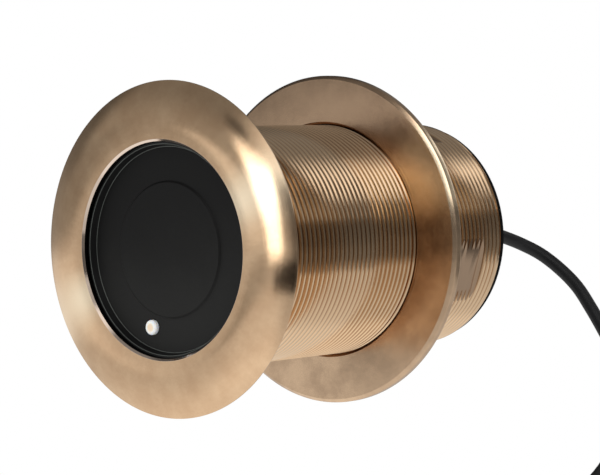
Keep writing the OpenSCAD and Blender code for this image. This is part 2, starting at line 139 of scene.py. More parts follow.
def camera():
    """The photograph's camera, with the photograph's centre in the picture's centre."""
    data = bpy.data.cameras.new("camera")
    data.sensor_width = SENSOR_WIDTH
    data.sensor_fit = "HORIZONTAL"
    data.lens = CAMERA_LENS
    data.clip_start = 0.05
    obj = bpy.data.objects.new("camera", data)
    bpy.context.collection.objects.link(obj)
    axes = Matrix((CAMERA_RIGHT, -CAMERA_DOWN, -CAMERA_AHEAD)).transposed()
    obj.matrix_world = Matrix.Translation(CAMERA_PLACE) @ axes.to_4x4()
    bpy.context.scene.camera = obj


def spline_points(points, steps):
    """A smooth line through the points, each stretch cut in a number of steps."""
    line = []
    last = len(points) - 1
    for i in range(last):
        a, b = points[max(i - 1, 0)], points[i]
        c, d = points[i + 1], points[min(i + 2, last)]
        for k in range(steps):
            t = k / steps
            line.append((2 * b + (c - a) * t + (2 * a - 5 * b + 4 * c - d) * t ** 2
                         + (3 * b - a - 3 * c + d) * t ** 3) / 2)
    line.append(points[last])
    return line


def smooth_step(t):
    """From 0 to 1 while t does the same, with a soft start and end."""
    t = min(max(t, 0.0), 1.0)
    return t * t * (3 - 2 * t)


def coil_turns():
    """(radius, height) of each turn, layer by layer, inwards and outwards in turn."""
    turns = []
    for layer in range(COIL_LAYERS):
        z = COIL_Z + layer * LAYER_Z
        nested = layer % 2
        radii = [COIL_OUT_R - COIL_PITCH * (k + nested / 2) for k in range(COIL_TURNS - nested)]
        if nested:
            radii.reverse()
        turns += [(r, z) for r in radii]
    return turns


def coil_line(per_turn=24):
    """The coil's line: each turn is round, and shifts to the next one under the strap."""
    turns = coil_turns()
    jog = math.radians(16)
    # It comes in at angle 0 on the first turn and leaves at COIL_EXIT on the last one
    total = (len(turns) - 2) * TAU + COIL_EXIT
    line = []
    steps = int(total / TAU * per_turn)
    for i in range(1, steps + 1):
        angle = total * i / steps
        turn = (angle + math.pi) / TAU
        k = min(int(turn), len(turns) - 1)
        r, z = turns[k]
        into = (turn - k) * TAU
        left = TAU - into
        if into < jog and k > 0:
            share = 0.5 + 0.5 * smooth_step(into / jog)
            r0, z0 = turns[k - 1]
            r, z = r0 + (r - r0) * share, z0 + (z - z0) * share
        elif left < jog and k < len(turns) - 1:
            share = 0.5 * smooth_step(1 - left / jog)
            r1, z1 = turns[k + 1]
            r, z = r + (r1 - r) * share, z + (z1 - z) * share
        spot = COIL_CENTRE + r * Vector((math.cos(angle), math.sin(angle)))
        line.append(Vector((spot.x, spot.y, z)))
    return line


def cable_line():
    """The whole cable's line: down to the coil, round it, and up to the plug."""
    return spline_points(CABLE_ROUTE, 6) + coil_line() + spline_points(TAIL_ROUTE, 5)


def make_cable():
    """The cable as one curve, a touch thinner than the solid that it replaces."""
    line = cable_line()
    thinner = 0.98
    data = bpy.data.curves.new("cable_whole", "CURVE")
    data.dimensions = "3D"
    data.bevel_depth = CABLE_D / 2 * thinner
    data.bevel_resolution = 4
    data.use_fill_caps = True
    spline = data.splines.new("POLY")
    spline.points.add(len(line) - 1)
    for point, place in zip(spline.points, line):
        point.co = (*place, 1)
    spline.use_smooth = True
    obj = bpy.data.objects.new("cable_whole", data)
    bpy.context.collection.objects.link(obj)
    return obj


class Value:
    """A number in a node tree. Sums and products of values add the nodes for them."""

    def __init__(self, tree, socket):
        self.tree = tree
        self.socket = socket

    def math(self, operation, *others):
        return self.tree.value("ShaderNodeMath", {"operation": operation},
                               {k: item for k, item in enumerate((self, *others))})

    def __add__(self, other):
        return self.math("ADD", other)

    def __sub__(self, other):
        return self.math("SUBTRACT", other)

    def __rsub__(self, other):
        return (self * -1) + other

    def __mul__(self, other):
        return self.math("MULTIPLY", other)

    def __truediv__(self, other):
        return self.math("DIVIDE", other)

    __radd__ = __add__
    __rmul__ = __mul__

    def abs(self):
        return self.math("ABSOLUTE")

    def sqrt(self):
        return self.math("SQRT")

    def floor(self):
        return self.math("FLOOR")

    def wrap(self, size):
        """What is left over after whole multiples of a size, never negative."""
        return self.math("FLOORED_MODULO", size)

    def atan2(self, other):
        return self.math("ARCTAN2", other)

    def least(self, other):
        return self.math("MINIMUM", other)

    def most(self, other):
        return self.math("MAXIMUM", other)

    def ramp(self, low, high, start=0.0, end=1.0):
        """From start to end, smoothly, while this value goes from low to high."""
        return self.tree.value("ShaderNodeMapRange", {"interpolation_type": "SMOOTHSTEP"},
                               {"Value": self, "From Min": low, "From Max": high,
                                "To Min": start, "To Max": end})

    def window(self, low, high, soft):
        """1 between low and high, 0 outside, with soft edges."""
        return self.ramp(low - soft, low + soft) * self.ramp(high - soft, high + soft, 1.0, 0.0)


class Tree:
    """A node tree under construction, for a material, the world or a shape."""

    def __init__(self, tree):
        self.tree = tree

    def put(self, slot, item):
        """Links a value or socket to the slot, or sets the slot to a plain number."""
        if isinstance(item, Value):
            item = item.socket
        if isinstance(item, bpy.types.NodeSocket):
            self.tree.links.new(item, slot)
        else:
            slot.default_value = item

    def node(self, kind, settings=None, sockets=None):
        """Adds a node, with its settings first and then its sockets' values or links."""
        node = self.tree.nodes.new(kind)
        for name, item in (settings or {}).items():
            setattr(node, name, item)
        for name, item in (sockets or {}).items():
            self.put(node.inputs[name], item)
        return node

    def value(self, kind, settings=None, sockets=None, output=0):
        """Adds a node and gives one of its outputs as a value."""
        return Value(self, self.node(kind, settings, sockets).outputs[output])

    def parts(self, vector):
        """A vector's x, y and z, as values."""
        split = self.node("ShaderNodeSeparateXYZ", None, {0: vector})
        return [Value(self, split.outputs[k]) for k in range(3)]

    def mix(self, factor, first, second):
        """The first colour where factor is 0 and the second where it is 1."""
        return self.node("ShaderNodeMix", {"data_type": "RGBA"},
                         {0: factor, 6: first, 7: second}).outputs[2]


def linear(r, g, b):
    """A colour given as it looks on screen, 0 to 255, as the shader needs it."""
    return tuple(c / 255 / 12.92 if c <= 10 else ((c / 255 + 0.055) / 1.055) ** 2.4
                 for c in (r, g, b)) + (1.0,)


class Shade(Tree):
    """A material under construction, with the places and patterns that its colours come from."""

    def __init__(self, name):
        self.material = bpy.data.materials.new(name)
        self.material.use_nodes = True
        super().__init__(self.material.node_tree)
        self.bsdf = self.tree.nodes["Principled BSDF"]
        self.place = self.node("ShaderNodeTexCoord").outputs["Object"]
        self.x, self.y, self.z = self.parts(self.place)

    def radius(self):
        """Distance from the stem's axis."""
        return (self.x * self.x + self.y * self.y).sqrt()

    def angle(self):
        """Direction round the stem, counted from +X towards +Y, in degrees."""
        return self.y.atan2(self.x) * (180 / math.pi)

    def noise(self, scale, detail=3.0, stretch=(1, 1, 1), rough=0.55):
        """Cloudy noise round 0.5, with a number of blots to the metre."""
        place = self.node("ShaderNodeMapping", None, {"Vector": self.place, "Scale": stretch})
        return self.value("ShaderNodeTexNoise", None,
                          {"Vector": place.outputs[0], "Scale": scale, "Detail": detail,
                           "Roughness": rough})

    def noise_of(self, value, scale, detail=2.0):
        """Noise along one value only, such as the rings that a lathe leaves."""
        line = self.node("ShaderNodeCombineXYZ", None, {0: value})
        return self.value("ShaderNodeTexNoise", None,
                          {"Vector": line.outputs[0], "Scale": scale, "Detail": detail})

    def bump(self, height, strength, distance):
        """Makes the surface look raised where height is more."""
        node = self.node("ShaderNodeBump", None,
                         {"Height": height, "Strength": strength, "Distance": distance})
        self.put(self.bsdf.inputs["Normal"], node.outputs[0])

    def done(self, **sockets):
        """Fills the shader's sockets, named with _ for a space, and gives the material."""
        for name, item in sockets.items():
            self.put(self.bsdf.inputs[name.replace("_", " ")], item)
        return self.material


def new_object(name, verts, faces):
    """An object with a mesh of its own, in the scene."""
    mesh = bpy.data.meshes.new(name)
    mesh.from_pydata(verts, [], faces)
    mesh.validate()
    obj = bpy.data.objects.new(name, mesh)
    bpy.context.collection.objects.link(obj)
    return obj


def tidy_mesh(obj, angle=35.0):
    """Merges doubled points, turns the faces outwards and shades smooth up to an angle."""
    work = bmesh.new()
    work.from_mesh(obj.data)
    bmesh.ops.remove_doubles(work, verts=work.verts, dist=2e-6)
    bmesh.ops.dissolve_degenerate(work, edges=work.edges, dist=1e-6)
    bmesh.ops.recalc_face_normals(work, faces=work.faces)
    work.to_mesh(obj.data)
    work.free()
    obj.data.shade_smooth()
    obj.data.set_sharp_from_angle(angle=math.radians(angle))


def rings(name, rows, closed=True):
    """A mesh through rows of points round an axis. Each row is a list of (x, y, z)."""
    count = len(rows[0])
    verts = [p for row in rows for p in row]
    faces = []
    pairs = len(rows) if closed else len(rows) - 1
    for i in range(pairs):
        a, b = i * count, (i + 1) % len(rows) * count
        for j in range(count):
            k = (j + 1) % count
            faces.append((a + j, a + k, b + k, b + j))
    return new_object(name, verts, faces)


def circle_row(r, z, count):
    """A level ring of points round the axis."""
    return [(r * math.cos(TAU * j / count), r * math.sin(TAU * j / count), z) for j in range(count)]


def arc(centre, radius, start, end, steps):
    """Points of an arc in the (radius, height) plane, angles in degrees."""
    return [(centre[0] + radius * math.cos(math.radians(start + (end - start) * k / steps)),
             centre[1] + radius * math.sin(math.radians(start + (end - start) * k / steps)))
            for k in range(steps + 1)]


def dome_points(steps=20):
    """The dome's arc in the (radius, height) plane, from the land to the flange's rim."""
    width = FLANGE_R - DOME_START
    rise = SEAT_Z - RIM_T
    radius = (width ** 2 + rise ** 2) / (2 * rise)
    end = math.asin(width / radius)
    angles = [end * k / steps for k in range(1, steps + 1)]
    return [(DOME_START + radius * math.sin(a), radius * (1 - math.cos(a))) for a in angles]


def thread_tree():
    """A sheet of squares wound round the stem along the thread, and cut off square at both ends."""
    group = bpy.data.node_groups.new("stem_thread", "GeometryNodeTree")
    inputs = {}
    # One turn more than fits at each end, for the square cut
    turns = math.ceil((THREAD_END - SEAT_Z - COLLAR_W) / PITCH) + 2
    for name, kind, size in (
            ("Columns", "NodeSocketInt", THREAD_COLUMNS), ("Turns", "NodeSocketInt", turns),
            ("Start", "NodeSocketFloat", SEAT_Z + COLLAR_W), ("End", "NodeSocketFloat", THREAD_END),
            ("Pitch", "NodeSocketFloat", PITCH), ("Crest radius", "NodeSocketFloat", STEM_R),
            ("Root radius", "NodeSocketFloat", ROOT_R),
            ("Crest width", "NodeSocketFloat", CREST_W)):
        slot = group.interface.new_socket(name, in_out="INPUT", socket_type=kind)
        inputs[name] = (slot.identifier, size)
    group.interface.new_socket("Geometry", in_out="OUTPUT", socket_type="NodeSocketGeometry")
    t = Tree(group)
    given = t.node("NodeGroupInput")
    size = {name: Value(t, given.outputs[name]) for name in inputs}
    # Each turn has four rows, at the two edges of the root and then of the crest
    per_turn = 4
    rows = size["Turns"] * per_turn
    grid = t.node("GeometryNodeMeshGrid", None, {
        "Vertices X": size["Columns"] + 1, "Vertices Y": rows,
        "Size X": size["Columns"], "Size Y": rows - 1})
    x, y, _ = t.parts(t.node("GeometryNodeInputPosition").outputs[0])
    # The slack keeps a whole number from being rounded down
    slack = 0.01
    column = (x + size["Columns"] / 2 + slack).floor()
    row = (y + (rows - 1) / 2 + slack).floor()
    turn = (row / per_turn).floor() - 1
    step = row - (turn + 1) * per_turn
    depth = size["Crest radius"] - size["Root radius"]
    flank = depth * math.tan(FLANK_ANGLE)
    root = size["Pitch"] - size["Crest width"] - flank * 2
    climb = (step - 1).most(0).least(1)
    offset = step.least(1) * root + climb * flank + (step - 2).most(0) * size["Crest width"]
    raw = size["Start"] + (turn + column / size["Columns"]) * size["Pitch"] + offset
    close = 1e-6
    ended = (size["Start"] - raw + close).math("GREATER_THAN", 0) \
        .most((raw - size["End"] + close).math("GREATER_THAN", 0))
    height = raw.most(size["Start"]).least(size["End"])
    radius = (size["Root radius"] + climb * depth).most(ended * size["Crest radius"])
    angle = column / size["Columns"] * TAU
    place = t.node("ShaderNodeCombineXYZ", None,
                   {0: radius * angle.math("COSINE"), 1: radius * angle.math("SINE"), 2: height})
    moved = t.node("GeometryNodeSetPosition", None,
                   {"Geometry": grid.outputs["Mesh"], "Position": place.outputs[0]})
    solid = t.node("GeometryNodeRealizeInstances", None, {0: moved.outputs[0]})
    painted = t.node("GeometryNodeSetMaterial", None, {"Geometry": solid.outputs[0]})
    t.node("NodeGroupOutput", None, {0: painted.outputs[0]})
    return group, inputs


def grown(name, tree):
    """The plain mesh that a tree of Geometry Nodes makes."""
    group, inputs = tree
    holder = new_object(name, [], [])
    way = holder.modifiers.new(name, "NODES")
    way.node_group = group
    for identifier, size in inputs.values():
        way[identifier] = size
    bpy.context.view_layer.update()
    deps = bpy.context.evaluated_depsgraph_get()
    mesh = bpy.data.meshes.new_from_object(holder.evaluated_get(deps))
    bpy.data.objects.remove(holder)
    return mesh


def flat_cutters():
    """One prism for each wrench flat: level, then a slope up to the shoulder."""
    low, top = FLAT_TOP - FLAT_LEN, FLAT_TOP
    out = STEM_R + 3 * MM
    depth = STEM_R - FLAT_R
    side = [(FLAT_R, low), (FLAT_R, top - depth), (STEM_R, top), (out, top), (out, low)]
    half = STEM_R
    verts, faces = [], []
    for i in range(FLAT_COUNT):
        turn = Matrix.Rotation(FLAT_ANGLE + TAU * i / FLAT_COUNT, 3, "Z")
        base = len(verts)
        for y in (-half, half):
            verts += [turn @ Vector((x, y, z)) for x, z in side]
        n = len(side)
        faces.append([base + k for k in range(n)])
        faces.append([base + n + k for k in reversed(range(n))])
        for k in range(n):
            m = (k + 1) % n
            faces.append([base + k, base + n + k, base + n + m, base + m])
    obj = new_object("flat_cutters", verts, faces)
    tidy_mesh(obj)
    return obj


def apply_modifiers(obj):
    """Replaces the object's mesh by what its modifiers make of it."""
    deps = bpy.context.evaluated_depsgraph_get()
    mesh = bpy.data.meshes.new_from_object(obj.evaluated_get(deps))
    obj.modifiers.clear()
    obj.data = mesh


def make_housing():
    """The bronze body: mouth, dome and stem turned in one piece, with the thread and the flats."""
    edge = 0.45 * MM
    count = THREAD_COLUMNS
    thread = grown("stem_thread", thread_tree())
    front = [circle_row(r, z, count) for r, z in
             [(STEM_R, THREAD_END), (STEM_R, BODY_H - END_BEVEL), (STEM_R - END_BEVEL, BODY_H),
              (BORE_R, BODY_H), (BORE_R, MOUTH_BEVEL), (BORE_R + MOUTH_BEVEL, 0.0),
              (DOME_START, 0.0)] + dome_points()]
    front += [circle_row(r, z, count) for r, z in
              arc((FLANGE_R - edge, SEAT_Z - edge), edge, 0, 90, 4)]
    front += [circle_row(STEM_R, SEAT_Z, count), circle_row(STEM_R, SEAT_Z + COLLAR_W, count)]
    body = rings("bronze_body", front, closed=False)
    work = bmesh.new()
    work.from_mesh(body.data)
    work.from_mesh(thread)
    work.to_mesh(body.data)
    work.free()
    tidy_mesh(body)
    cutters = flat_cutters()
    cut = body.modifiers.new("flats", "BOOLEAN")
    cut.operation = "DIFFERENCE"
    cut.object = cutters
    cut.solver = "MANIFOLD"
    bpy.context.view_layer.update()
    apply_modifiers(body)
    bpy.data.objects.remove(cutters)
    tidy_mesh(body)
    return body


def make_nut(count=360):
    """The hull nut: a round flange with a six-sided wrench ring behind it."""
    def row(r, z, flats=False):
        points = []
        for j in range(count):
            a = TAU * j / count
            sector = a % (TAU / HUB_SIDES) - TAU / HUB_SIDES / 2
            reach = min(r, NUT_ACROSS / 2 / math.cos(sector)) if flats else r
            points.append((reach * math.cos(a), reach * math.sin(a), NUT_Z + z))
        return points

    edge = 0.3 * MM
    top = NUT_RIM_T + NUT_HUB_H
    rows = [row(NUT_BORE, NUT_MOUTH), row(NUT_BORE + NUT_MOUTH, 0.0)]
    rows += [row(r, z) for r, z in
             arc((NUT_R - NUT_BEVEL - edge / 2, edge / 2), edge / 2, -90, -45, 2)]
    rows += [row(r, z) for r, z in
             arc((NUT_R - edge, NUT_BEVEL + edge / 3), edge, -45, 0, 3)]
    rows += [row(r, z) for r, z in
             arc((NUT_R - 2 * edge, NUT_RIM_T - 2 * edge), 2 * edge, 0, 90, 5)]
    rows += [row(NUT_HUB_R, NUT_RIM_T, True), row(NUT_HUB_R, top - edge, True),
             row(NUT_HUB_R - edge, top, True), row(NUT_BORE + NUT_MOUTH, top),
             row(NUT_BORE, top - NUT_MOUTH)]
    nut = rings("hull_nut_turned", rows)
    tidy_mesh(nut, 20)
    return nut


def make_beads():
    """The fine rounded edges of the moulded cup: one at its lip, one where it meets the window."""
    verts, faces = [], []
    around, section = 192, 8
    for r, z in ((CUP_R - LIP_T, LIP_DEPTH), (CUP_IN - 0.1 * MM, WINDOW_DEPTH - 0.05 * MM)):
        base = len(verts)
        for j in range(around):
            a = TAU * j / around
            for k in range(section):
                b = TAU * k / section
                reach = r + BEAD_R * math.cos(b)
                verts.append((reach * math.cos(a), reach * math.sin(a), z + BEAD_R * math.sin(b)))
        for j in range(around):
            for k in range(section):
                n, m = (j + 1) % around, (k + 1) % section
                faces.append([base + j * section + k, base + n * section + k,
                              base + n * section + m, base + j * section + m])
    beads = new_object("cup_beads", verts, faces)
    tidy_mesh(beads, 80)
    return beads


def probe_place():
    """The probe's place on the window, seen along the stem."""
    reach = CUP_IN - PROBE_INSET
    return reach * math.cos(PROBE_ANGLE), reach * math.sin(PROBE_ANGLE)


def make_probe(around=64):
    """The probe's button on the window, with its shank behind it."""
    soft = 0.8 * MM
    r, top = PROBE_D / 2, WINDOW_DEPTH - PROBE_H
    side = [(0, top)] + arc((r - soft, top + soft), soft, -90, 0, 8) + [(r, WINDOW_DEPTH)]
    hole = SHANK_D * 3 / 8
    side += [(SHANK_D / 2, WINDOW_DEPTH), (SHANK_D / 2, WINDOW_DEPTH + SHANK_LEN),
             (hole, WINDOW_DEPTH + SHANK_LEN), (hole, WINDOW_DEPTH + SHANK_D / 2),
             (0, WINDOW_DEPTH + SHANK_D / 2)]
    px, py = probe_place()
    rows = [[(x + px, y + py, z) for x, y, z in circle_row(r, z, around)] for r, z in side]
    probe = rings("probe_button", rows, closed=False)
    tidy_mesh(probe, 40)
    return probe


def strap_corners():
    """The outermost places in the coil's section where one turn crosses to the next."""
    turns = [Vector(turn) for turn in coil_turns()]
    places = sorted({((a + b) / 2).to_tuple(6) for a, b in zip(turns, turns[1:])})
    # Below this, three places count as lying on one line
    straight = 1e-9

    def outer_side(side):
        """The corners that are left when each place inside the line is dropped."""
        corners = []
        for place in map(Vector, side):
            while len(corners) > 1 and \
                    (corners[-1] - corners[-2]).cross(place - corners[-1]) < straight:
                corners.pop()
            corners.append(place)
        return corners[:-1]

    return outer_side(places) + outer_side(places[::-1])


def strap_line(reach, steps=5):
    """The strap's line round the coil's section, tight on the turns at its corners."""
    corners = strap_corners()
    line = []
    for i, corner in enumerate(corners):
        before = corner - corners[i - 1]
        after = corners[(i + 1) % len(corners)] - corner
        start = math.degrees(math.atan2(before.y, before.x)) - 90
        end = start - math.degrees(before.angle_signed(after))
        line += arc(corner, reach, start, end, steps)
    return line


def make_strap():
    """The strap that holds the coil together, with its lock on the outside."""
    soft = 0.25 * MM
    half, inner, outer = TIE_W / 2, CABLE_D / 2 + TIE_GAP, CABLE_D / 2 + TIE_GAP + TIE_T
    section = [(soft - half, inner), (half - soft, inner),
               (half, inner + soft), (half, outer - soft),
               (half - soft, outer), (soft - half, outer),
               (-half, outer - soft), (-half, inner + soft)]
    lines = [(across, strap_line(reach)) for across, reach in section]
    rows = []
    for i in range(len(lines[0][1])):
        rows.append([(COIL_CENTRE.x - line[i][0], COIL_CENTRE.y + across, line[i][1])
                     for across, line in lines])
    strap = rings("coil_strap", rows)
    work = bmesh.new()
    work.from_mesh(strap.data)
    lock = Vector((2 * TIE_T, TIE_W + 2 * TIE_T, TIE_W))
    middle = Vector((COIL_CENTRE.x - COIL_OUT_R + COIL_PITCH / 4 - outer - lock.x / 2 + soft,
                     COIL_CENTRE.y, COIL_Z + LAYER_Z * 2.5))
    block = bmesh.ops.create_cube(work, size=1, matrix=Matrix.Translation(middle)
                                  @ Matrix.Diagonal((*lock, 1)))
    edges = list({e for v in block["verts"] for e in v.link_edges})
    bmesh.ops.bevel(work, geom=edges, offset=0.5 * MM, segments=2, affect="EDGES", profile=0.5)
    work.to_mesh(strap.data)
    work.free()
    tidy_mesh(strap, 40)
    return strap


def nut_bronze():
    """Bronze off the lathe: fine rings, faint cloudy patches, and painted shade and a painted
    highlight by angle round the nut.
    """
    s = Shade("nut_bronze")
    along = s.radius() + s.z
    lines = s.noise_of(along, 4200)
    cloud = s.noise(75, 4, rough=0.6)
    fine = s.noise(420)
    tone = (cloud - 0.5) * 2.0 + (lines - 0.5) * 0.2 + 0.5
    colour = s.mix(tone.ramp(0.2, 0.8), linear(204, 174, 144), linear(232, 200, 166))
    # Painted shade darkens the upper side and, less, the lower side. A painted highlight brightens
    # a stretch between them. Together they stand in for the turned face's reflections
    angle = s.angle()
    colour = s.mix(angle.window(-135, -42, 16) * 0.75, colour, linear(172, 144, 119))
    colour = s.mix(angle.window(12, 80, 14) * 0.45, colour, linear(176, 150, 124))
    colour = s.mix(angle.window(-38, -8, 8) * 0.6, colour, linear(255, 238, 206))
    s.bump(lines * 0.6 + fine * 0.5, 0.25, 0.00012)
    roughness = 0.22 + (cloud - 0.5) * 0.16 + (fine - 0.5) * 0.08
    return s.done(Base_Color=colour, Roughness=roughness, Metallic=1.0)


def on_flats(s):
    """1 on the wrench flats and on the slope that ends each one, 0 on the thread."""
    turn = math.degrees(FLAT_ANGLE)
    step = 360 / FLAT_COUNT
    folded = (s.angle() - turn + 360 + step / 2).wrap(step) - step / 2
    across = s.radius() * (folded * (math.pi / 180)).math("COSINE")
    slope_start = FLAT_TOP - (STEM_R - FLAT_R)
    level = (s.z - slope_start).most(0) + FLAT_R
    near = (across - level).abs().ramp(0.08 * MM, 0.16 * MM, 1.0, 0.0)
    return near * s.z.window(FLAT_TOP - FLAT_LEN, FLAT_TOP, 0.1 * MM)


def body_bronze():
    """The body's bronze: satin on the dome with painted highlight streaks, a painted highlight on
    the mouth's edge and painted shade inside it, and on the thread bright crests and roots darkened
    by painted shade.
    """
    s = Shade("bronze_body_metal")
    r = s.radius()
    turned = s.noise_of(r + s.z, 4200)
    cloud = s.noise(38, 4)
    fine = s.noise(420)
    on_stem = s.z.ramp(SEAT_Z, SEAT_Z + 1 * MM) \
        * s.z.ramp(BODY_H - 2 * MM, BODY_H - 1 * MM, 1.0, 0.0)
    depth = r.ramp(ROOT_R + 0.1 * MM, STEM_R - 0.2 * MM)
    grain = s.noise(160, 5, rough=0.7)
    tone = (cloud - 0.5) * 0.7 + (turned - 0.5) * 0.3 + (grain - 0.5) * 0.6 + 0.5
    metal = s.mix(tone.ramp(0.2, 0.8), linear(214, 178, 142), linear(236, 203, 166))
    # Painted highlight: two bright streaks on the turned face, painted where a lathe's rings would
    # catch the light
    angle = s.angle()
    painted_streaks = angle.window(-30, -12, 9).most(angle.window(150, 168, 9))
    fade_start, fade_end = 44 * MM, 56 * MM
    metal = s.mix(painted_streaks * r.ramp(fade_start, fade_end, 0.95, 0.6), metal, linear(255, 236, 206))
    # The thread's roots are painted darker than its crests: painted shade in the grooves
    thread = s.mix(depth, linear(160, 124, 88), linear(234, 202, 166))
    flats = on_flats(s)
    metal = s.mix(flats, metal, linear(174, 148, 124))
    colour = s.mix((1 - on_stem).most(flats), thread, metal)
    # The mouth's edge is painted bright, a painted highlight, and the bore wall behind it is
    # painted near black, painted shade inside the mouth
    edge = r.ramp(BORE_R + MOUTH_BEVEL, BORE_R + MOUTH_BEVEL + 0.1 * MM, 1.0, 0.0) \
        * s.z.ramp(MOUTH_BEVEL, MOUTH_BEVEL + 0.1 * MM, 1.0, 0.0)
    colour = s.mix(edge, colour, linear(238, 218, 202))
    bore_shade = r.ramp(BORE_R + 0.05 * MM, BORE_R + 0.15 * MM, 1.0, 0.0) \
        * s.z.ramp(MOUTH_BEVEL, MOUTH_BEVEL + 0.1 * MM)
    colour = s.mix(bore_shade, colour, linear(50, 49, 48))
    s.bump(turned * 0.6 + fine * 0.5, 0.15, 0.00012)
    roughness = 0.115 + (cloud - 0.5) * 0.08 + (fine - 0.5) * 0.05
    return s.done(Base_Color=colour, Roughness=roughness, Metallic=1.0)


def moulded(name, colour, rough=0.5, grain=900, strength=0.2, light=None, ior=1.45):
    """Moulded plastic or rubber with a fine grain and a little unevenness."""
    s = Shade(name)
    fine = s.noise(grain, 3)
    wide = s.noise(45, 3)
    other = light or tuple(min(1.0, c * 1.6 + 0.004) for c in colour[:3]) + (1.0,)
    tone = (wide - 0.5) * 0.9 + (fine - 0.5) * 0.3 + 0.5
    s.bump(fine, strength, 0.0001)
    roughness = rough + (wide - 0.5) * 0.15
    return s.done(Base_Color=s.mix(tone.ramp(0.2, 0.8), colour, other), Roughness=roughness,
                  IOR=ior)


def window_face():
    """The window's black resin, a touch paler towards the probe."""
    s = Shade("window_black")
    fine = s.noise(700, 3)
    wide = s.noise(45, 3)
    dark_side, pale_side = -28 * MM, 32 * MM
    tone = s.y.ramp(dark_side, pale_side) * 0.8 + (wide - 0.5) * 0.5 + (fine - 0.5) * 0.2
    s.bump(fine, 0.25, 0.0001)
    return s.done(Base_Color=s.mix(tone.ramp(0.0, 1.0), linear(16, 16, 16), linear(34, 34, 33)),
                  Roughness=0.5 + (wide - 0.5) * 0.15, IOR=1.25)


def probe_paint():
    """The probe's button: warm in the middle, with a painted highlight round its rim."""
    s = Shade("probe_brass")
    px, py = probe_place()
    x, y = s.x - px, s.y - py
    reach = (x * x + y * y).sqrt() + (s.noise(900) - 0.5) * 0.4 * MM
    # The rim is painted near white: a painted highlight
    rim = reach.ramp(PROBE_D * 0.15, PROBE_D * 0.41)
    return s.done(Base_Color=s.mix(rim, linear(248, 222, 196), linear(255, 253, 248)),
                  Roughness=0.35, IOR=1.45, Subsurface_Weight=1.0,
                  Subsurface_Radius=(1.0, 0.9, 0.8), Subsurface_Scale=1.5 * MM)


def metal(name, colour, rough=0.3):
    """Bare metal with a fine drawn grain."""
    s = Shade(name)
    fine = s.noise(700, 3, (1, 1, 0.1))
    s.bump(fine, 0.15, 0.0001)
    darker = tuple(c * 0.7 for c in colour[:3]) + (1.0,)
    return s.done(Base_Color=s.mix(fine, darker, colour), Roughness=rough + (fine - 0.5) * 0.2,
                  Metallic=1.0)


def paint(name, material):
    """Gives a CAD node's object its material."""
    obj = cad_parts[name]
    obj.data.materials.clear()
    obj.data.materials.append(material)


def dress(obj, material, body, slot, *nodes):
    """Gives a piece its material and body, and hides the CAD nodes that it stands for. The slot is
    not used.
    """
    obj.data.materials.clear()
    obj.data.materials.append(material)
    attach(obj, body)
    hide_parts(*nodes)


